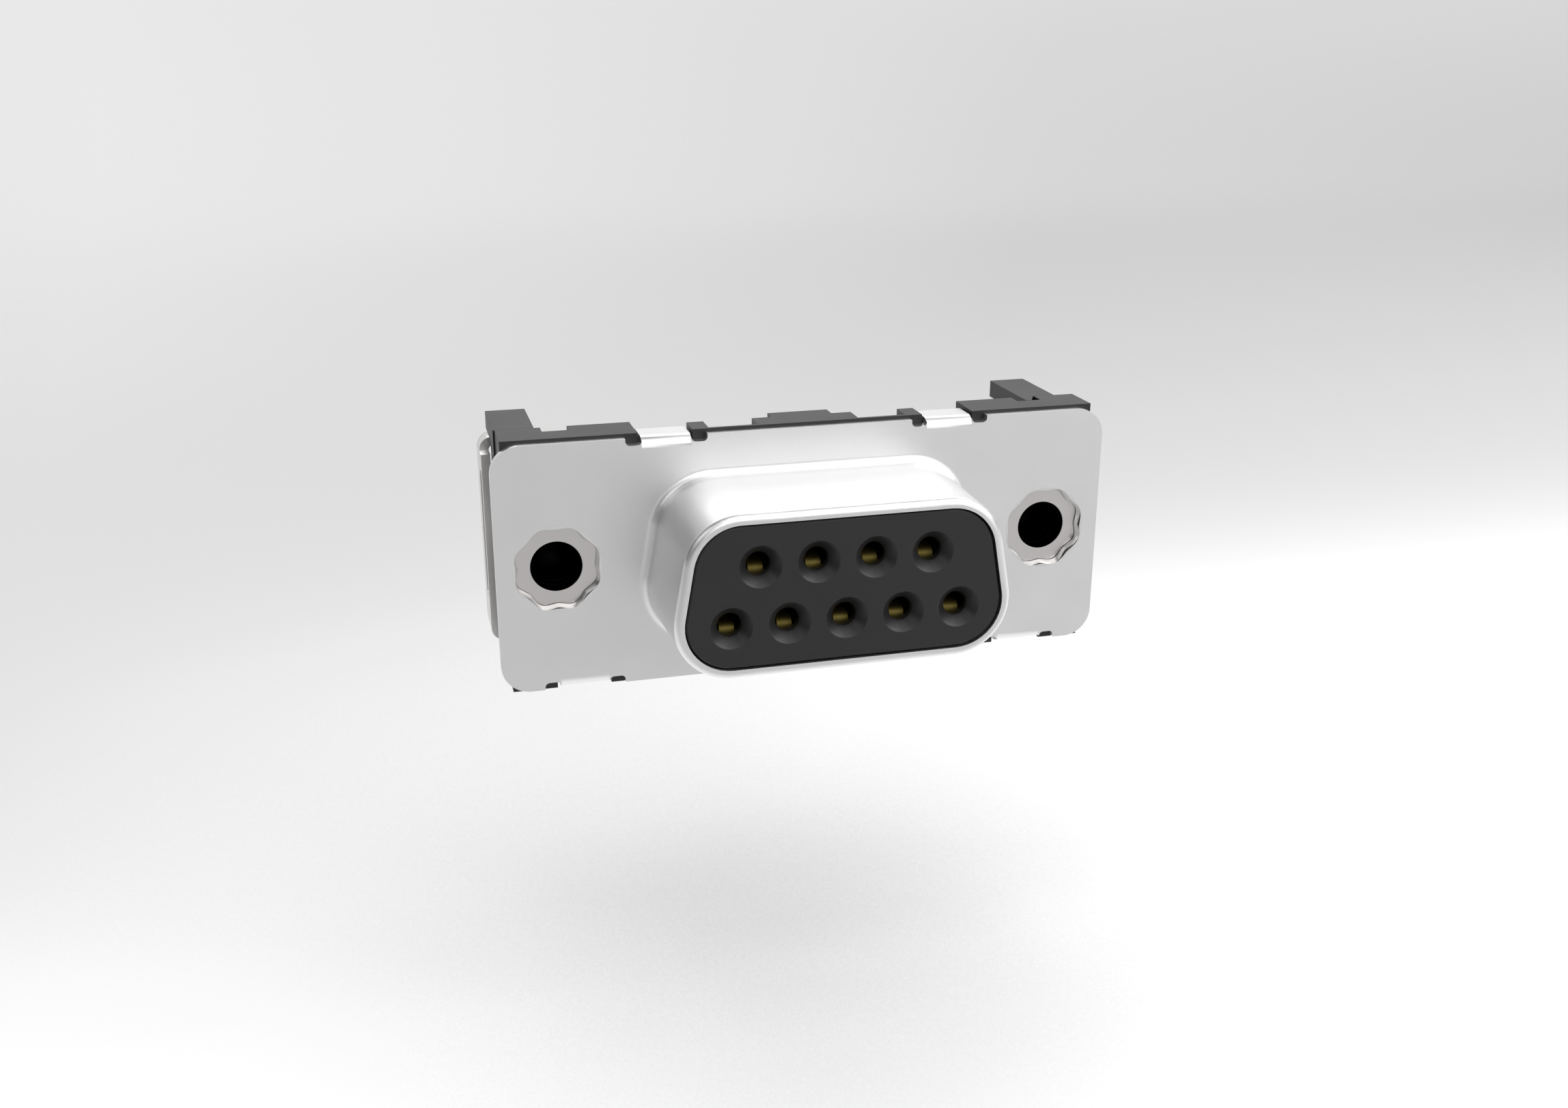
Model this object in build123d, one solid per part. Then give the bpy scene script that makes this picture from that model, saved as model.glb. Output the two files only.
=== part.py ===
from build123d import *
from math import cos, pi, radians, sin, tan
import os

os.makedirs("parts", exist_ok=True)

# Frame
# Millimetres. X runs along the flange, Y goes back from its front face, Z is up.
# The origin is on that face, midway between the two threaded holes.

# Sheet metal front
sheet = 0.4
flange_w = 30.81
flange_h = 12.28
flange_r = 1.4
hole_inset = 2.91

# Shroud of the mating side, a D with its wide side down
shroud_depth = 6.12
shroud_wall = 0.46
shroud_half_h = 3.93
shroud_half_mid = 7.94
shroud_r = 2.7
side_angle = 10
shroud_draft = 1.1
base_fillet = 0.42
rim_round = 0.36

# Lobed holes in the flange, tighter at the back
lobes = 8
lobe_front_r = 2.055
lobe_front_wave = 0.07
lobe_back_r = 1.95
lobe_back_wave = 0.1

# Tabs folded back over the insulator and hooked behind it
tab_top_x = 7.1
tab_bottom_inset = 1.115
tab_w = 2.38
tab_bend = 0.12
tab_hook = 0.85
notch_w = 0.78
notch_depth = 0.35
notch_r = 0.22

# Contact grid, four over five
pitch = 2.743
row_spacing = 2.84
top_row = 4
bottom_row = 5

# Contact cavities
face_y = -6.05
entry_r = 1.014
entry_depth = 0.51
lead_r = 0.575
lead_end = 0.9
cavity_r = 0.8

# Front insulator, a D nose on a stepped frame
nose_gap = 0.08
nose_edge = 0.07
frame_inset = 0.545
frame_over = 0.16
frame_under = 0.11
frame_depth = 2.6
step_depth = 1.8
lip_depth = 0.6
core_inset = 0.94
centre_half_w = 2.53
key_half_w = 1.53
rib_w = 0.83
relief_inset = 2.14
relief_w = 1.27

# Rear insulator with its feet
plate_end = 4.15
block_half_w = 7.6
block_half_h = 3.3
block_end = 6.1
seat_y = 6.6
left_foot_out = 0.09
left_foot_w = 1.95
right_foot_inset = 1.02
right_foot_w = 1.89
tongue_front = 0.31
tongue_back = 0.71

# Threaded inserts
bore_r = 1.24
bore_end = 4.0
drill_cone = 0.5
hex_flats = 4.7
hex_thickness = 1.0
insert_set_back = 0.05
shank_r = 1.95
spigot_r = 1.7
rivet_r = 2.05
rivet_height = 0.3

# Brackets behind both ends
bracket_sheet = 0.45
bracket_bend = 0.65
bracket_stand_out = 0.045
bracket_top_inset = 0.74
bracket_bottom_inset = 1.17
bracket_back = 6.55
lip_w = 3.85
lip_front = 4.95
lip_back = 6.05
lip_step = 0.67
web_inset = 0.85
web_w = 4.3
web_top = 3.2
window_y = (4.55, 5.5)
window_z = (-2.9, 3.75)
small_hole_y = 6.08
small_hole_z = 0.35
small_hole_r = 0.24
window_r = 0.2

# Contacts
barrel_r = 0.74
trough_r = 0.6
trough_z = 0.1
trough_depth = 5.6
leaf_w = 0.72
leaf_thickness = 0.17
leaf_z = 0.15
leaf_nose = 0.05
leaf_nose_r = 0.34
leaf_flat = 0.55
leaf_root = 0.52
leaf_tip = 0.62
tail_r = 0.3
tail_length = 3.2

# Clearances
fit_gap = 0.03
tab_side_gap = 0.13

flange_top = flange_h / 2
flange_end = flange_w / 2
hole_x = flange_end - hole_inset
tab_bottom_x = hole_x - tab_bottom_inset
tab_floor = flange_top - sheet
hook_y = step_depth + fit_gap
frame_half_w = flange_end - frame_inset
frame_top = flange_top + frame_over
frame_bottom = flange_top + frame_under
core_half_h = flange_top - core_inset
relief_out = frame_half_w - relief_inset
relief_in = relief_out - relief_w
left_foot = (-frame_half_w - left_foot_out, left_foot_w - left_foot_out - frame_half_w)
right_foot = (frame_half_w - right_foot_inset - right_foot_w, frame_half_w - right_foot_inset)
bracket_out = flange_end + bracket_stand_out
bracket_top = flange_top - bracket_top_inset
bracket_bottom = flange_top - bracket_bottom_inset
lip_in = bracket_out - lip_w
lip_step_z = bracket_top - lip_step
web_out = bracket_out - web_inset
web_in = web_out - web_w
insert_face_y = sheet + insert_set_back
hex_seat_y = insert_face_y + hex_thickness
web_back = plate_end + bracket_sheet


# Shared shapes

def plane_at(y):
    return Plane.XZ.offset(-y)


def slab(sketch, y0, y1):
    # A sketch in X and Z, made solid from y0 back to y1
    return extrude(plane_at(y0) * sketch, y1 - y0, dir=(0, 1, 0))


def block(x, y, z):
    # A box between pairs of limits
    size = Box(x[1] - x[0], y[1] - y[0], z[1] - z[0])
    return Pos(sum(x) / 2, sum(y) / 2, sum(z) / 2) * size


def rod(x, z, r, y0, y1):
    return slab(Pos(x, z) * Circle(r), y0, y1)


def turned(profile, x, z):
    # A body turned about a line along Y, from its outline in radius and Y
    return Pos(x, 0, z) * revolve(make_face(Polyline(*profile, close=True)), Axis.Y)


def d_outline(grow):
    # The D of the rim's outside, grown or shrunk evenly
    half_h = shroud_half_h + grow
    half_mid = shroud_half_mid + grow / cos(radians(side_angle))
    lean = half_h * tan(radians(side_angle))
    corners = [
        (half_mid - lean, half_h),
        (lean - half_mid, half_h),
        (-half_mid - lean, -half_h),
        (half_mid + lean, -half_h),
    ]
    face = Polygon(*corners, align=None)
    return fillet(face.vertices(), shroud_r + grow)


def d_body(y0, y1, grow):
    # A D that narrows forwards with the draft of the shroud
    back = grow + (y1 + shroud_depth) * tan(radians(shroud_draft))
    return extrude(plane_at(y1) * d_outline(back), y1 - y0, dir=(0, -1, 0), taper=shroud_draft)


def d_edges(part, y):
    # The edges at depth y that run round the D
    near = part.edges().filter_by_position(Axis.Y, y - 0.01, y + 0.01)
    half_w = hole_x - lobe_front_r - 1
    near = near.filter_by_position(Axis.X, -half_w, half_w)
    return near.filter_by_position(Axis.Z, 0.8 - flange_top, flange_top - 0.8)


def bent_strip(points, thickness, bend):
    # Sheet folded along a line on its outer side, the sheet to the left of the line
    return make_face(offset(FilletPolyline(*points, radius=bend), thickness, side=Side.LEFT).edges())


def lobed_face(x, y, mean_r, wave):
    # A round hole with a wavy edge, crests between the compass points
    points = []
    for k in range(4 * lobes):
        turn = 2 * pi * k / (4 * lobes)
        r = mean_r - wave * cos(lobes * turn)
        points.append((x + r * cos(turn), r * sin(turn)))
    return plane_at(y) * make_face(Spline(*points, periodic=True))


def hexagon_face(grow):
    # The insert's head, two flats towards the ends of the connector
    return RegularPolygon(hex_flats / 2 + grow, 6, major_radius=False, rotation=30)


def stepped_outline(top, bottom):
    # Steps of (outer x, height) from the middle outwards, alike on both sides
    upper = []
    x = 0
    for outer, height in top:
        upper += [(x, height), (outer, height)]
        x = outer
    lower = []
    x = 0
    for outer, height in bottom:
        lower += [(x, -height), (outer, -height)]
        x = outer
    half = Polygon(*upper, *reversed(lower), align=None)
    return half + mirror(half, about=Plane.YZ)


contact_places = []
for count, z in ((bottom_row, -row_spacing / 2), (top_row, row_spacing / 2)):
    for k in range(count):
        contact_places.append(((k - (count - 1) / 2) * pitch, z))

parts = {}

# Front shell
# Flange and D shroud are one drawn sheet with a soft root and a rounded rim.
shell = slab(RectangleRounded(flange_w, flange_h, flange_r), 0, sheet)
shell += d_body(-shroud_depth, sheet / 2, 0)
shell = fillet(d_edges(shell, 0), base_fillet)
shell = fillet(d_edges(shell, -shroud_depth), rim_round)
shell -= d_body(-shroud_depth - 0.1, sheet + 0.1, -shroud_wall)
shell = fillet(d_edges(shell, sheet), 0.8 * sheet)
for side in (-1, 1):
    x = side * hole_x
    wide = lobed_face(x, 0, lobe_front_r, lobe_front_wave)
    tight = lobed_face(x, sheet, lobe_back_r, lobe_back_wave)
    shell -= loft([wide, tight], ruled=True)


def shell_tab():
    # Up the flange, over the insulator's edge and down behind it
    end = hook_y + sheet
    line = [(end, flange_top - tab_hook), (end, flange_top), (0, flange_top), (0, flange_top - tab_hook)]
    return extrude(Plane.YZ * bent_strip(line, sheet, tab_bend + sheet), tab_w / 2, both=True)


def tab_room():
    # What the flange loses for a tab, its front corner and a notch on each side
    corner = tab_bend + sheet
    room = block((-tab_w / 2, tab_w / 2), (-1, 1), (flange_top - corner, flange_top + 1))
    for side in (-1, 1):
        x = side * (tab_w + notch_w) / 2
        notch = RectangleRounded(notch_w, 2 * notch_depth, notch_r)
        room += slab(Pos(x, flange_top) * notch, -1, 1)
    return room


for side in (-1, 1):
    shell -= Pos(side * tab_top_x, 0, 0) * tab_room()
    shell += Pos(side * tab_top_x, 0, 0) * shell_tab()
    shell -= Pos(side * tab_bottom_x, 0, 0) * mirror(tab_room(), about=Plane.XY)
    shell += Pos(side * tab_bottom_x, 0, 0) * mirror(shell_tab(), about=Plane.XY)
parts["front_shell"] = shell

# Front insulator
# The nose fills the shroud. The frame behind the flange steps down towards the back.
tab_half = tab_w / 2 + tab_side_gap
top_in = tab_top_x - tab_half
top_out = tab_top_x + tab_half
bottom_in = tab_bottom_x - tab_half
bottom_out = tab_bottom_x + tab_half
floor_z = tab_floor - fit_gap
lip_level = stepped_outline(
    [(top_in, frame_top), (top_out, floor_z), (frame_half_w, frame_top)],
    [(bottom_in, frame_bottom), (bottom_out, floor_z), (frame_half_w, frame_bottom)],
)
step_level = stepped_outline(
    [
        (centre_half_w, frame_top),
        (top_in - rib_w, floor_z),
        (top_in, frame_top),
        (top_out, floor_z),
        (frame_half_w, frame_top),
    ],
    [(bottom_in, frame_bottom), (bottom_out, floor_z), (frame_half_w, frame_bottom)],
)
back_level = stepped_outline(
    [
        (key_half_w, frame_top),
        (top_out, core_half_h),
        (relief_in, frame_top),
        (relief_out, core_half_h),
        (frame_half_w, frame_top),
    ],
    [(bottom_in, frame_bottom), (bottom_out, core_half_h), (frame_half_w, frame_bottom)],
)
front = slab(lip_level, sheet, lip_depth)
front += slab(step_level, lip_depth, step_depth)
front += slab(back_level, step_depth, frame_depth)
for y in (sheet, step_depth):
    for z in (-floor_z, floor_z):
        bent_over = front.edges().filter_by_position(Axis.Y, y - 0.01, y + 0.01)
        front = chamfer(bent_over.filter_by_position(Axis.Z, z - 0.01, z + 0.01), tab_bend)
nose = d_body(face_y, sheet, -shroud_wall - nose_gap)
front += chamfer(d_edges(nose, face_y), nose_edge)
for side in (-1, 1):
    x = side * hole_x
    hexagon = hexagon_face(fit_gap)
    front -= slab(Pos(x, 0) * hexagon, sheet, hex_seat_y)
    front -= rod(x, 0, shank_r + fit_gap, sheet, frame_depth)
for x, z in contact_places:
    cavity = [
        (0, face_y),
        (entry_r, face_y),
        (lead_r, face_y + entry_depth),
        (lead_r, face_y + lead_end),
        (cavity_r, face_y + lead_end),
        (cavity_r, frame_depth),
        (0, frame_depth),
    ]
    front -= turned(cavity, x, z)
parts["front_insulator"] = front

# Rear insulator
# A plate closes the cavities, a block guides the tails and feet stand on the board.
foot_top = bracket_top + fit_gap
foot_bottom = bracket_bottom + fit_gap
rear = block((-frame_half_w, frame_half_w), (frame_depth, plate_end), (-core_half_h, core_half_h))
rear += slab(RectangleRounded(2 * block_half_w, 2 * block_half_h, 0.6), plate_end, block_end)
for foot in (left_foot, right_foot):
    rear += block(foot, (frame_depth, plate_end), (-frame_bottom, frame_top))
    rear += block(foot, (plate_end, seat_y), (foot_top, frame_top))
    rear += block(foot, (plate_end, seat_y), (-frame_bottom, -foot_bottom))
root_x = right_foot[0]
tongue = Polygon(
    (root_x, frame_depth),
    (root_x, hook_y),
    (root_x + tongue_front, hook_y),
    (root_x + tongue_back, frame_depth),
    align=None,
)
tongue_low = core_half_h + fit_gap
rear += extrude(Plane.XY.offset(tongue_low) * tongue, frame_top - tongue_low, dir=(0, 0, 1))
for side in (-1, 1):
    rear -= rod(side * hole_x, 0, shank_r + fit_gap, frame_depth, plate_end)
for x, z in contact_places:
    rear -= rod(x, z, tail_r + fit_gap, frame_depth, block_end)
parts["rear_insulator"] = rear

# Contacts
# Each is a round body cut to a half trough in front. A sprung leaf rises from the trough's
# end, presses the pin up into it and curls over at its nose. A round tail goes back.
front_y = face_y + lead_end + fit_gap
trough_end = front_y + trough_depth
contact = rod(0, 0, barrel_r, front_y, frame_depth) + rod(0, 0, tail_r, frame_depth, seat_y + tail_length)
contact -= rod(0, 0, trough_r, front_y, trough_end)
contact -= block((-barrel_r, barrel_r), (front_y, trough_end), (-barrel_r, trough_z))
leaf_line = [
    (front_y + leaf_nose, -leaf_tip),
    (front_y + leaf_nose, -leaf_z),
    (front_y + leaf_flat, -leaf_z),
    (trough_end + leaf_thickness, -leaf_root),
]
leaf = Plane.YZ * bent_strip(reversed(leaf_line), leaf_thickness, leaf_nose_r)
contact += extrude(leaf, leaf_w / 2, both=True)
for number, (x, z) in enumerate(contact_places, 1):
    parts[f"contact_{number}"] = Pos(x, 0, z) * contact

# Threaded inserts
# A hexagonal head behind the flange, a shank through both insulators, a closed riveted end.
shank_outline = [
    (0, insert_face_y),
    (shank_r, insert_face_y),
    (shank_r, plate_end),
    (spigot_r, plate_end),
    (spigot_r, web_back),
    (rivet_r, web_back),
    (spigot_r, web_back + rivet_height),
    (0, web_back + rivet_height),
]
insert = slab(hexagon_face(0), insert_face_y, hex_seat_y)
insert += turned(shank_outline, 0, 0)
bore_outline = [(0, insert_face_y), (bore_r, insert_face_y), (bore_r, bore_end), (0, bore_end + drill_cone)]
insert -= turned(bore_outline, 0, 0)
parts["threaded_insert_left"] = Pos(-hole_x, 0, 0) * insert
parts["threaded_insert_right"] = Pos(hole_x, 0, 0) * insert

# Brackets
# One folded sheet: a side wall, a lip under the foot, a floor and a web for the insert.
wall_line = [
    (-lip_in, bracket_top),
    (-bracket_out, bracket_top),
    (-bracket_out, -bracket_bottom),
    (-web_out, -bracket_bottom),
]
bracket = slab(bent_strip(wall_line, bracket_sheet, bracket_bend), plate_end, bracket_back)
above_step = (lip_step_z, bracket_top + 1)
bracket -= block((-bracket_out - 1, 0), (plate_end - 1, lip_front), above_step)
bracket -= block((-bracket_out - 1, 0), (lip_back, bracket_back + 1), above_step)
web_line = [(plate_end, web_top), (plate_end, -bracket_bottom), (bracket_back, -bracket_bottom)]
web = Plane.YZ * bent_strip(web_line, bracket_sheet, bracket_bend)
bracket += Pos(-web_out, 0, 0) * extrude(web, web_out - web_in, dir=(1, 0, 0))
bracket -= rod(-hole_x, 0, spigot_r + fit_gap, plate_end - 1, web_back + 0.01)
window = RectangleRounded(window_y[1] - window_y[0], window_z[1] - window_z[0], window_r)
window = Pos(sum(window_y) / 2, sum(window_z) / 2) * window
window += Pos(small_hole_y, small_hole_z) * Circle(small_hole_r)
bracket -= Pos(-bracket_out, 0, 0) * extrude(Plane.YZ * window, bracket_sheet, both=True)
parts["bracket_left"] = bracket
parts["bracket_right"] = mirror(bracket, about=Plane.YZ)

for name, part in parts.items():
    export_step(part, f"parts/{name}.step")
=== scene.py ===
import math
import bmesh
import bpy
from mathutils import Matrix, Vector


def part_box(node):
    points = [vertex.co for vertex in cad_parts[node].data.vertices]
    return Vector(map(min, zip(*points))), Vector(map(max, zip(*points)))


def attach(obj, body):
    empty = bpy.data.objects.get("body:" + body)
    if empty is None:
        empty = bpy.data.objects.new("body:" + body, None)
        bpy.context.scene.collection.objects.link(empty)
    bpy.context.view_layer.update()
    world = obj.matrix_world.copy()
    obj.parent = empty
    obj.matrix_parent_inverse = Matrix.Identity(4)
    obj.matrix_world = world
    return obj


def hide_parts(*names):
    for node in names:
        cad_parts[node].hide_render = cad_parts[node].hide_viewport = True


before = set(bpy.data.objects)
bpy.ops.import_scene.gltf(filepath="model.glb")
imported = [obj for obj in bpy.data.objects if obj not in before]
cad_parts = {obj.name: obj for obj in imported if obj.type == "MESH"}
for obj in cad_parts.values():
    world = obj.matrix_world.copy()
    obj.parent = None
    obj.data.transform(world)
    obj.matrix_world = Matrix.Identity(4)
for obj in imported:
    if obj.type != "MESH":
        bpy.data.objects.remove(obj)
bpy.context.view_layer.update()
mm = 0.001

# Front shell
# One drawn steel sheet, nickel plated to a satin finish: the flange with its lobed holes,
# the D shroud raised from it and the four tabs folded back over the insulator.
sheared_edge = 0.016 * mm
weld = 0.0005 * mm
flat_join = math.radians(0.4)
crease = math.radians(32)
nickel_colour = (0.8, 0.8, 0.8, 1)


def softened(node, finish, edge):
    """The node's own form with its sharp edges slightly broken and its curves shaded smooth."""
    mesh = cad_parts[node].data.copy()
    bm = bmesh.new()
    bm.from_mesh(mesh)
    bmesh.ops.remove_doubles(bm, verts=bm.verts, dist=weld)
    bmesh.ops.dissolve_limit(bm, verts=bm.verts, edges=bm.edges, angle_limit=flat_join)
    sharp = [e for e in bm.edges if e.is_manifold and e.calc_face_angle(0) > crease]
    bmesh.ops.bevel(
        bm, geom=sharp, offset=edge, offset_type="OFFSET", segments=2, profile=0.6,
        affect="EDGES", clamp_overlap=True, harden_normals=False,
    )
    for face in bm.faces:
        face.smooth = True
    bm.to_mesh(mesh)
    bm.free()
    piece = bpy.data.objects.new(node + "_finished", mesh)
    bpy.context.collection.objects.link(piece)
    even = piece.modifiers.new("even_normals", "WEIGHTED_NORMAL")
    even.weight = 100
    even.keep_sharp = False
    baked = bpy.data.meshes.new_from_object(piece.evaluated_get(bpy.context.evaluated_depsgraph_get()))
    piece.modifiers.clear()
    piece.data = baked
    piece.data.materials.clear()
    piece.data.materials.append(finish)
    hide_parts(node)
    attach(piece, "root")


def new_group(name, inputs, outputs):
    """An empty shader group with float inputs and the outputs named."""
    tree = bpy.data.node_groups.new(name, "ShaderNodeTree")
    for label, value in inputs.items():
        socket = tree.interface.new_socket(name=label, in_out="INPUT", socket_type="NodeSocketFloat")
        socket.default_value = value
    for label in outputs:
        tree.interface.new_socket(name=label, in_out="OUTPUT", socket_type="NodeSocketFloat")
    return tree, tree.nodes.new("NodeGroupInput"), tree.nodes.new("NodeGroupOutput")


def fine_grain_group():
    """Height and tone of a fine even grain, its size in millimetres."""
    tree, given, out = new_group("fine_grain", {"Size": 0.06, "Blotch": 2.0}, ["Grain", "Tone"])
    place = tree.nodes.new("ShaderNodeTexCoord")
    for label, key, detail in (("Grain", "Size", 3.0), ("Tone", "Blotch", 4.0)):
        per = tree.nodes.new("ShaderNodeMath")
        per.operation = "DIVIDE"
        per.inputs[0].default_value = 1 / mm
        noise = tree.nodes.new("ShaderNodeTexNoise")
        noise.inputs["Detail"].default_value = detail
        tree.links.new(given.outputs[key], per.inputs[1])
        tree.links.new(per.outputs[0], noise.inputs["Scale"])
        tree.links.new(place.outputs["Object"], noise.inputs["Vector"])
        tree.links.new(noise.outputs["Fac"], out.inputs[label])
    return tree


fine_grain = fine_grain_group()


def new_material(name):
    """A material with its shader, ready for its nodes."""
    material = bpy.data.materials.new(name)
    material.use_nodes = True
    return material, material.node_tree, material.node_tree.nodes["Principled BSDF"]


def placed_group(tree, group, **values):
    """A shader group set into a material with its own values."""
    node = tree.nodes.new("ShaderNodeGroup")
    node.node_tree = group
    for label, value in values.items():
        node.inputs[label].default_value = value
    return node


def ranged(tree, source, low, high, start=0.3, end=0.7):
    """A value that runs from low to high while its source runs from start to end."""
    node = tree.nodes.new("ShaderNodeMapRange")
    node.inputs["From Min"].default_value = start
    node.inputs["From Max"].default_value = end
    node.inputs["To Min"].default_value = low
    node.inputs["To Max"].default_value = high
    tree.links.new(source, node.inputs["Value"])
    return node.outputs["Result"]


def toned(tree, shader, mask, dark, light):
    """A base colour that varies between two tones."""
    mix = tree.nodes.new("ShaderNodeMix")
    mix.data_type = "RGBA"
    mix.inputs["A"].default_value = dark
    mix.inputs["B"].default_value = light
    tree.links.new(mask, mix.inputs["Factor"])
    tree.links.new(mix.outputs["Result"], shader.inputs["Base Color"])


def bumped(tree, shader, height, depth):
    """A relief of that depth, in metres."""
    bump = tree.nodes.new("ShaderNodeBump")
    bump.inputs["Distance"].default_value = depth
    tree.links.new(height, bump.inputs["Height"])
    tree.links.new(bump.outputs["Normal"], shader.inputs["Normal"])


def shade(colour, factor):
    """A lighter or darker colour."""
    return (*(min(1, c * factor) for c in colour[:3]), 1)


def plated_metal(name, colour, roughness, grain_size, grain_depth):
    """Plated sheet or turned metal with a fine satin grain."""
    material, tree, shader = new_material(name)
    shader.inputs["Metallic"].default_value = 1.0
    grain = placed_group(tree, fine_grain, Size=grain_size, Blotch=3.0)
    tone = ranged(tree, grain.outputs["Tone"], 0, 1)
    toned(tree, shader, tone, shade(colour, 0.985), shade(colour, 1.01))
    rough = ranged(tree, grain.outputs["Tone"], roughness * 0.96, roughness * 1.05)
    tree.links.new(rough, shader.inputs["Roughness"])
    bumped(tree, shader, grain.outputs["Grain"], grain_depth)
    return material


def object_place(tree):
    """The X, Y and Z of a point on the object."""
    place = tree.nodes.new("ShaderNodeTexCoord")
    split = tree.nodes.new("ShaderNodeSeparateXYZ")
    tree.links.new(place.outputs["Object"], split.inputs[0])
    return split.outputs


def axis_reach_group():
    """How far a point lies from a line along Y through X = Centre, in metres."""
    tree, given, out = new_group("axis_reach", {"Centre": 0.0}, ["Reach"])
    place = object_place(tree)
    aside = tree.nodes.new("ShaderNodeMath")
    aside.operation = "SUBTRACT"
    flat = tree.nodes.new("ShaderNodeCombineXYZ")
    reach = tree.nodes.new("ShaderNodeVectorMath")
    reach.operation = "LENGTH"
    tree.links.new(place["X"], aside.inputs[0])
    tree.links.new(given.outputs["Centre"], aside.inputs[1])
    tree.links.new(aside.outputs[0], flat.inputs["X"])
    tree.links.new(place["Z"], flat.inputs["Z"])
    tree.links.new(flat.outputs[0], reach.inputs[0])
    tree.links.new(reach.outputs["Value"], out.inputs["Reach"])
    return tree


axis_reach = axis_reach_group()


def polished_hole(material, centre_x, radius, roughness):
    """Gives the sheared wall of a hole the brighter finish of cut metal."""
    tree = material.node_tree
    shader = tree.nodes["Principled BSDF"]
    near = placed_group(tree, axis_reach, Centre=centre_x)
    around = ranged(tree, near.outputs["Reach"], 0, 1, 0.99 * radius, radius)
    mix = tree.nodes.new("ShaderNodeMix")
    mix.inputs["A"].default_value = roughness
    tree.links.new(around, mix.inputs["Factor"])
    tree.links.new(shader.inputs["Roughness"].links[0].from_socket, mix.inputs["B"])
    tree.links.new(mix.outputs["Result"], shader.inputs["Roughness"])


insert_start, insert_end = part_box("threaded_insert_right")
hole_x = (insert_start[0] + insert_end[0]) / 2
lobe_r = 2.14 * mm
satin_nickel = plated_metal("satin_nickel", nickel_colour, 0.38, 0.09, 0.0012 * mm)
for sign in (-1, 1):
    polished_hole(satin_nickel, sign * hole_x, lobe_r, 0.2)
softened("front_shell", satin_nickel, sheared_edge)

# Front insulator
# One black moulding, glass filled and lightly grained by its mould: the nose in the shroud
# with nine countersunk cavities, and the stepped frame that the tabs hold.
moulded_edge = 0.022 * mm
black_colour = (0.012, 0.012, 0.0123, 1)


def moulded_plastic(name, colour, roughness):
    """Black moulded plastic with a fine spark grain."""
    material, tree, shader = new_material(name)
    grain = placed_group(tree, fine_grain, Size=0.07, Blotch=2.5)
    tone = ranged(tree, grain.outputs["Tone"], 0, 1)
    toned(tree, shader, tone, shade(colour, 0.92), shade(colour, 1.08))
    rough = ranged(tree, grain.outputs["Tone"], roughness * 0.95, roughness * 1.05)
    tree.links.new(rough, shader.inputs["Roughness"])
    bumped(tree, shader, grain.outputs["Grain"], 0.003 * mm)
    return material


black_plastic = moulded_plastic("black_plastic", black_colour, 0.44)
softened("front_insulator", black_plastic, moulded_edge)

# Contacts
# Nine gold plated sockets, each cut to a half trough over a sprung leaf, with a straight
# round tail. They drop into the cavities from behind as far as the step at the mouth.
# The sockets' gold is made dark to paint the shade inside their cavities; the tails keep plain gold
socket_gold_painted_shade = (0.17, 0.135, 0.038, 1)
tail_gold = (0.66, 0.5, 0.2, 1)
cut_edge = 0.02 * mm
tail_start = 4 * mm
gold = plated_metal("gold_plating", socket_gold_painted_shade, 0.58, 0.09, 0.003 * mm)


def lighten_tails(material, start, end):
    """Takes the sockets' gold, darkened as painted shade of their cavities, to the plain gold of their
    tails, along Y.
    """
    tree = material.node_tree
    along = ranged(tree, object_place(tree)["Y"], 0, 1, start, end)
    toned(tree, tree.nodes["Principled BSDF"], along, socket_gold_painted_shade, tail_gold)


lighten_tails(gold, 0, tail_start)
for number in range(1, 10):
    softened(f"contact_{number}", gold, cut_edge)

# Rear insulator
# A second moulding of the same plastic closes the cavities and carries the four feet.
softened("rear_insulator", black_plastic, moulded_edge)

# Threaded inserts
# Turned brass with a dull nickel plate: a hexagonal head behind the flange, a shank through
# both mouldings and an end that is riveted over the bracket.
turned_edge = 0.03 * mm
bore_r = 1.24 * mm
end_wall = 0.05 * mm
insert_plate = plated_metal("insert_plate", (0.655, 0.634, 0.622, 1), 0.3, 0.07, 0.001 * mm)
# A near black painted into the bores and their threads as the shade deep inside them
bore_painted_shade = (0.0015, 0.0015, 0.0015, 1)


def math_node(tree, operation, first, second):
    """One operation on two values, each a number or the output of a node."""
    node = tree.nodes.new("ShaderNodeMath")
    node.operation = operation
    for socket, value in zip(node.inputs, (first, second)):
        if isinstance(value, float):
            socket.default_value = value
        else:
            tree.links.new(value, socket)
    return node.outputs[0]


def blacken_bore(material, centre_x):
    """Darkens the blind bore of one insert to a near black as painted shade, and not its closed end.
    """
    tree = material.node_tree
    shader = tree.nodes["Principled BSDF"]
    near = placed_group(tree, axis_reach, Centre=centre_x)
    around = ranged(tree, near.outputs["Reach"], 0, 1, bore_r, 1.02 * bore_r)
    plated_end = insert_end[1] - end_wall
    behind = ranged(tree, object_place(tree)["Y"], 0, 1, plated_end - end_wall, plated_end)
    outside = math_node(tree, "MAXIMUM", around, behind)
    mix = tree.nodes.new("ShaderNodeMix")
    mix.data_type = "RGBA"
    mix.inputs["A"].default_value = bore_painted_shade
    tree.links.new(outside, mix.inputs["Factor"])
    tree.links.new(shader.inputs["Base Color"].links[0].from_socket, mix.inputs["B"])
    tree.links.new(mix.outputs["Result"], shader.inputs["Base Color"])


def new_geometry_node(tree, kind, **sockets):
    """A node with its constants set and its links made."""
    node = tree.nodes.new(kind)
    for label, value in sockets.items():
        socket = node.inputs[label.replace("_", " ")]
        if isinstance(value, bpy.types.NodeSocket):
            tree.links.new(value, socket)
        else:
            socket.default_value = value
    return node


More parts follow.
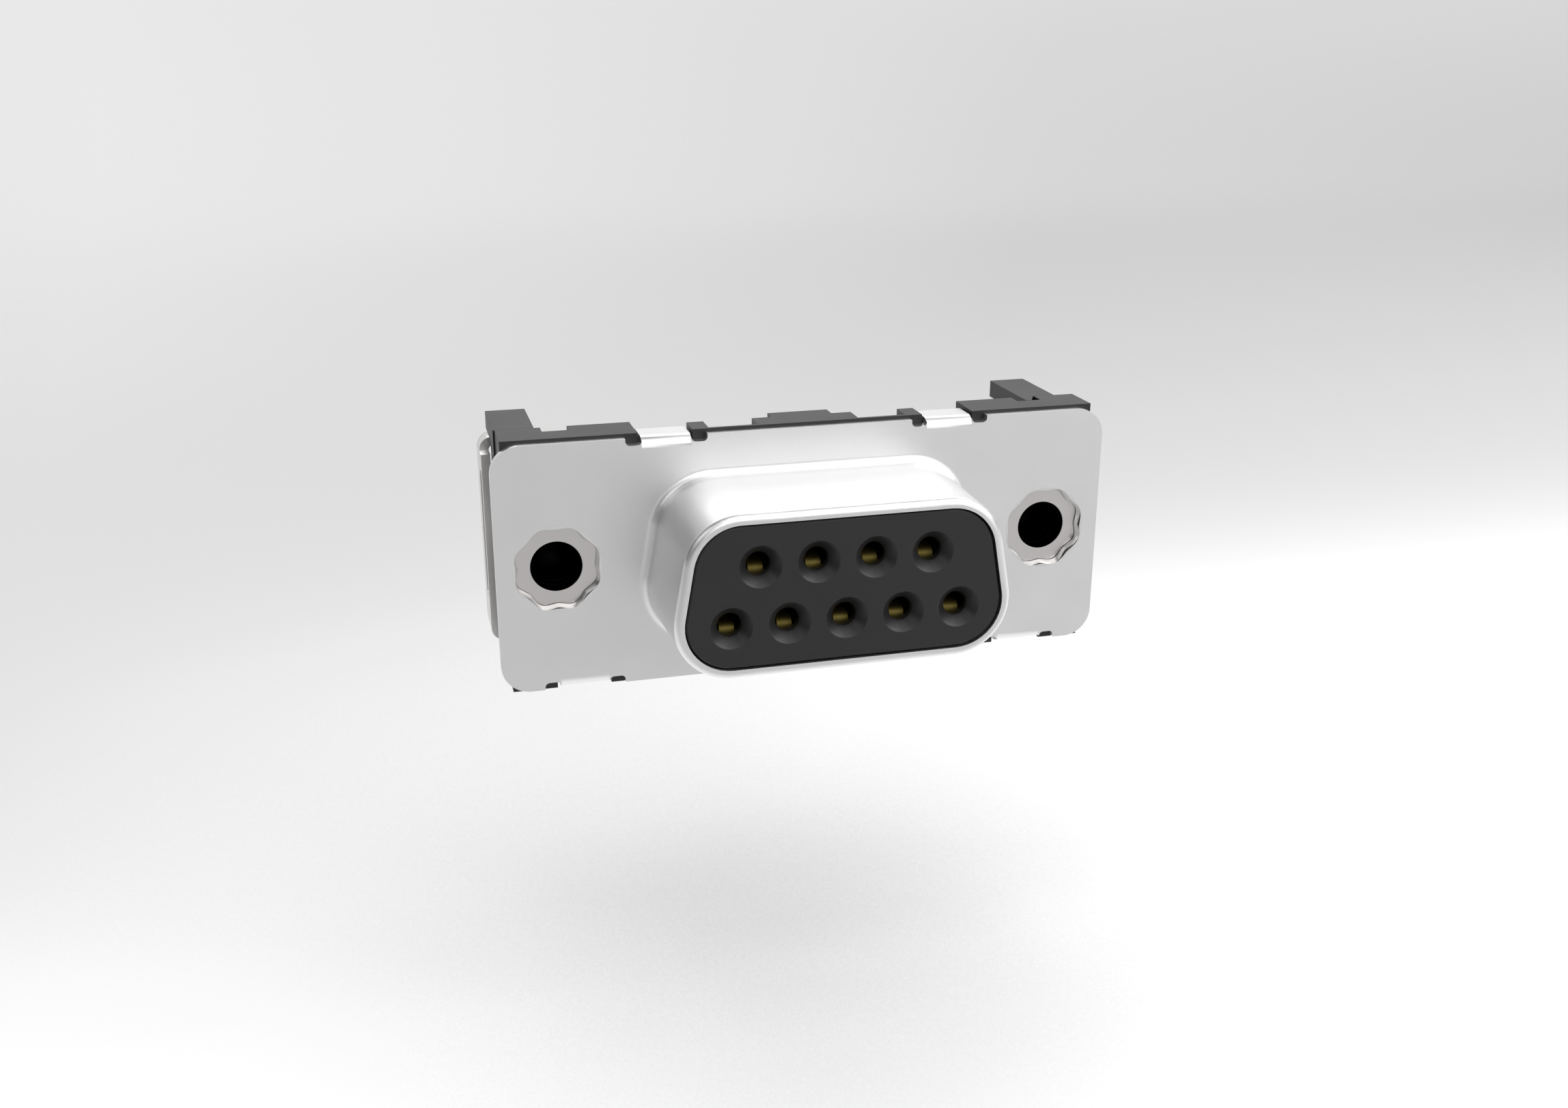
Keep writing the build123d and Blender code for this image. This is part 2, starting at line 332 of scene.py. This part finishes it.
def thread_group():
    """A three-sided ridge that winds down a bore along Y, its sizes in metres."""
    tree = bpy.data.node_groups.new("internal_thread", "GeometryNodeTree")
    named = {
        "Radius": "Float", "Length": "Float", "Turns": "Float", "Ridge": "Float",
        "Place": "Vector", "Finish": "Material",
    }
    for label, kind in named.items():
        tree.interface.new_socket(name=label, in_out="INPUT", socket_type="NodeSocket" + kind)
    tree.interface.new_socket(name="Geometry", in_out="OUTPUT", socket_type="NodeSocketGeometry")
    given = tree.nodes.new("NodeGroupInput").outputs
    out = tree.nodes.new("NodeGroupOutput")
    helix = new_geometry_node(
        tree, "GeometryNodeCurveSpiral", Resolution=40, Rotations=given["Turns"],
        Start_Radius=given["Radius"], End_Radius=given["Radius"], Height=given["Length"],
    )
    upright = new_geometry_node(tree, "GeometryNodeSetCurveNormal", Curve=helix.outputs[0])
    upright.mode = "Z_UP"
    section = new_geometry_node(
        tree, "GeometryNodeCurvePrimitiveCircle", Resolution=3, Radius=given["Ridge"],
    )
    ridge = new_geometry_node(
        tree, "GeometryNodeCurveToMesh", Curve=upright.outputs[0],
        Profile_Curve=section.outputs["Curve"], Fill_Caps=True,
    )
    placed = new_geometry_node(
        tree, "GeometryNodeTransform", Geometry=ridge.outputs[0],
        Translation=given["Place"], Rotation=(-math.pi / 2, 0, 0),
    )
    real = new_geometry_node(tree, "GeometryNodeRealizeInstances", Geometry=placed.outputs[0])
    done = new_geometry_node(
        tree, "GeometryNodeSetMaterial", Geometry=real.outputs[0], Material=given["Finish"],
    )
    tree.links.new(done.outputs[0], out.inputs["Geometry"])
    return tree


thread_pitch = 0.635 * mm
thread_turns = 4.5
ridge_r = 0.12 * mm
ridge_root = 0.01 * mm
internal_thread = thread_group()


def cut_thread(name, centre_x, finish):
    """The ridge of one insert's thread, made into a plain mesh."""
    piece = bpy.data.objects.new(name, bpy.data.meshes.new(name))
    bpy.context.collection.objects.link(piece)
    wind = piece.modifiers.new("wind", "NODES")
    wind.node_group = internal_thread
    values = {
        "Radius": bore_r + ridge_root - ridge_r / 2, "Length": thread_pitch * thread_turns,
        "Turns": thread_turns, "Ridge": ridge_r,
        "Place": (centre_x, insert_start[1] + 2 * ridge_r, 0), "Finish": finish,
    }
    for socket in internal_thread.interface.items_tree:
        if socket.name in values:
            wind[socket.identifier] = values[socket.name]
    baked = bpy.data.meshes.new_from_object(piece.evaluated_get(bpy.context.evaluated_depsgraph_get()))
    piece.modifiers.clear()
    piece.data = baked
    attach(piece, "root")


for end, sign in (("left", -1), ("right", 1)):
    plate = insert_plate.copy()
    blacken_bore(plate, sign * hole_x)
    softened(f"threaded_insert_{end}", plate, turned_edge)
    cut_thread(f"thread_{end}", sign * hole_x, plate)

# Brackets
# Tinned steel sheet, folded into a side wall, a lip, a floor and a web, which the riveted end
# of an insert holds against the rear insulator.
tin_plate = plated_metal("tin_plate", (0.74, 0.732, 0.72, 1), 0.28, 0.08, 0.0006 * mm)
for end in ("left", "right"):
    softened(f"bracket_{end}", tin_plate, sheared_edge)

# Studio
# A seamless pale sweep well below the hanging connector, a pale sky and six soft lamps.
floor_drop = 24 * mm
sweep_half_width = 2.0
sweep_front = -1.5
wall_start = 0.35
wall_bend = 0.6
wall_height = 2.0
bend_steps = 16


def sweep_profile():
    """Points in Y and Z along the floor, round the bend and up the wall."""
    points = [(sweep_front, -floor_drop), (0, -floor_drop)]
    for step in range(bend_steps + 1):
        turn = math.pi / 2 * step / bend_steps
        rise = wall_bend * (1 - math.cos(turn))
        points.append((wall_start + wall_bend * math.sin(turn), rise - floor_drop))
    return points + [(wall_start + wall_bend, wall_height)]


profile = sweep_profile()
corners = [(x, y, z) for y, z in profile for x in (-sweep_half_width, sweep_half_width)]
strips = [(2 * k, 2 * k + 1, 2 * k + 3, 2 * k + 2) for k in range(len(profile) - 1)]
sweep_mesh = bpy.data.meshes.new("studio_sweep")
sweep_mesh.from_pydata(corners, [], strips)
sweep_mesh.shade_smooth()
sweep = bpy.data.objects.new("studio_sweep", sweep_mesh)
bpy.context.collection.objects.link(sweep)
sweep_finish, sweep_tree, sweep_shader = new_material("studio_sweep")
sweep_shader.inputs["Base Color"].default_value = (0.3, 0.3, 0.3, 1)
sweep_shader.inputs["Roughness"].default_value = 0.9
sweep_shader.inputs["Specular IOR Level"].default_value = 0
# The sweep is made paler or darker over these metres of depth
lift_start = -0.1
lift_reach = 1.0
# How far back in metres, and how pale the sweep is made there on its left and on its right
lifts_left = ((-0.04, 1.0), (0.004, 0.78), (0.06, 0.52), (0.2, 0.57), (0.4, 0.68), (0.9, 0.78))
lifts_right = ((-0.04, 1.0), (0.036, 0.84), (0.09, 0.47), (0.2, 0.405), (0.4, 0.54), (0.9, 0.73))
# Its left and right part along lines that fan out from a point in front of the connector
fan_front = 0.07
fan_least = 0.02
fan_left = 0.025
fan_slant = 0.2
side_spread = 0.3
# How far in metres the connector shades the floor, and how deeply
open_sky = 0.055
shadow_weight = 3.8
# How much of the lift the metal mirrors from the floor in front of it, and where that grows
# to all of it
mirrored_share = 0.35
mirror_start = -0.03
mirror_full = 0.005


def lift_curve(tree, depth, lifts):
    """A tone that follows the depth through the points given."""
    node = tree.nodes.new("ShaderNodeFloatCurve")
    curve = node.mapping.curves[0]
    at = [((y - lift_start) / (lift_reach - lift_start), tone) for y, tone in lifts]
    curve.points[0].location = (0, at[0][1])
    curve.points[1].location = (1, at[-1][1])
    for point in at:
        curve.points.new(*point)
    node.mapping.update()
    tree.links.new(depth, node.inputs["Value"])
    return node.outputs["Value"]


def lift_backdrop(tree, shader):
    """Lifts the sweep to a pale tone for what looks at it, less where the connector covers the
    sky above it, and adds no light to the object's shading."""
    place = object_place(tree)
    depth = ranged(tree, place["Y"], 0, 1, lift_start, lift_reach)
    far = math_node(tree, "MAXIMUM", math_node(tree, "ADD", place["Y"], fan_front), fan_least)
    drift = math_node(tree, "MULTIPLY", place["Y"], -fan_slant)
    across = math_node(tree, "ADD", math_node(tree, "ADD", place["X"], fan_left), drift)
    side = ranged(tree, math_node(tree, "DIVIDE", across, far), 0, 1, -side_spread, side_spread)
    tone = tree.nodes.new("ShaderNodeMix")
    tree.links.new(side, tone.inputs["Factor"])
    tree.links.new(lift_curve(tree, depth, lifts_left), tone.inputs["A"])
    tree.links.new(lift_curve(tree, depth, lifts_right), tone.inputs["B"])
    sky = tree.nodes.new("ShaderNodeAmbientOcclusion")
    sky.samples = 8
    sky.inputs["Distance"].default_value = open_sky
    path = tree.nodes.new("ShaderNodeLightPath")
    share = ranged(tree, place["Y"], mirrored_share, 1, mirror_start, mirror_full)
    mirrored = math_node(tree, "MULTIPLY", path.outputs["Is Glossy Ray"], share)
    shadow = math_node(tree, "POWER", sky.outputs["AO"], shadow_weight)
    seen = math_node(tree, "MULTIPLY", path.outputs["Is Camera Ray"], shadow)
    looks = math_node(tree, "MAXIMUM", seen, mirrored)
    lit = math_node(tree, "MULTIPLY", tone.outputs["Result"], looks)
    tree.links.new(lit, shader.inputs["Emission Strength"])
    shader.inputs["Emission Color"].default_value = (1, 1, 1, 1)


lift_backdrop(sweep_tree, sweep_shader)
sweep_mesh.materials.append(sweep_finish)

world = bpy.data.worlds.new("studio")
bpy.context.scene.world = world
world.use_nodes = True
world.node_tree.nodes["Background"].inputs["Color"].default_value = (1, 1, 1, 1)
sky_light = 0.04
sky_look = 0.85
mirrored_sky = 0.02


def pale_sky(tree):
    """Shows a pale sky to what looks at it, and lights the object very little."""
    path = tree.nodes.new("ShaderNodeLightPath")
    mirrored = math_node(tree, "MULTIPLY", path.outputs["Is Glossy Ray"], mirrored_sky)
    looks = math_node(tree, "MAXIMUM", path.outputs["Is Camera Ray"], mirrored)
    strength = ranged(tree, looks, sky_light, sky_look, 0, 1)
    tree.links.new(strength, tree.nodes["Background"].inputs["Strength"])


pale_sky(world.node_tree)

lamp_distance = 0.45


def soft_lamp(name, azimuth, elevation, size, radiance):
    """A soft lamp aimed at the connector from those degrees, its size in metres and as bright
    as that all over its face."""
    lamp = bpy.data.lights.new(name, "AREA")
    lamp.shape = "RECTANGLE"
    lamp.size, lamp.size_y = size
    lamp.energy = radiance * math.pi * size[0] * size[1]
    obj = bpy.data.objects.new(name, lamp)
    bpy.context.collection.objects.link(obj)
    turn, rise = math.radians(azimuth), math.radians(elevation)
    aim = Vector((math.cos(rise) * math.cos(turn), math.cos(rise) * math.sin(turn), math.sin(rise)))
    obj.location = aim * lamp_distance
    obj.rotation_euler = (-aim).to_track_quat("-Z", "Y").to_euler()
    obj.visible_camera = False


soft_lamp("lamp_front", 280, 27, (0.44, 0.26), 1.8)
soft_lamp("lamp_front_low", 315, 8, (0.3, 0.11), 2.0)
soft_lamp("lamp_above", 290, 66, (0.36, 0.38), 1.65)
soft_lamp("lamp_right", 345, 36, (0.3, 0.34), 3.95)
soft_lamp("lamp_back", 75, 45, (0.46, 0.26), 1.45)
soft_lamp("lamp_left", 210, 40, (0.25, 0.26), 1.3)

camera_data = bpy.data.cameras.new("photo_camera")
camera_data.sensor_width = 36
camera_data.lens = 35.73
camera_data.clip_start = 0.001
camera = bpy.data.objects.new("photo_camera", camera_data)
bpy.context.collection.objects.link(camera)
camera.location = Vector((-20.594, -69.865, 24.696)) * mm
camera_aim = Vector((-1.369, 0, -0.213)) * mm
camera_roll = math.radians(0.13)
facing = (camera_aim - camera.location).to_track_quat("-Z", "Y").to_matrix().to_4x4()
camera.rotation_euler = facing.to_euler()
camera.rotation_euler.rotate_axis("Z", camera_roll)
bpy.context.scene.camera = camera

bpy.context.scene.view_settings.view_transform = "Standard"
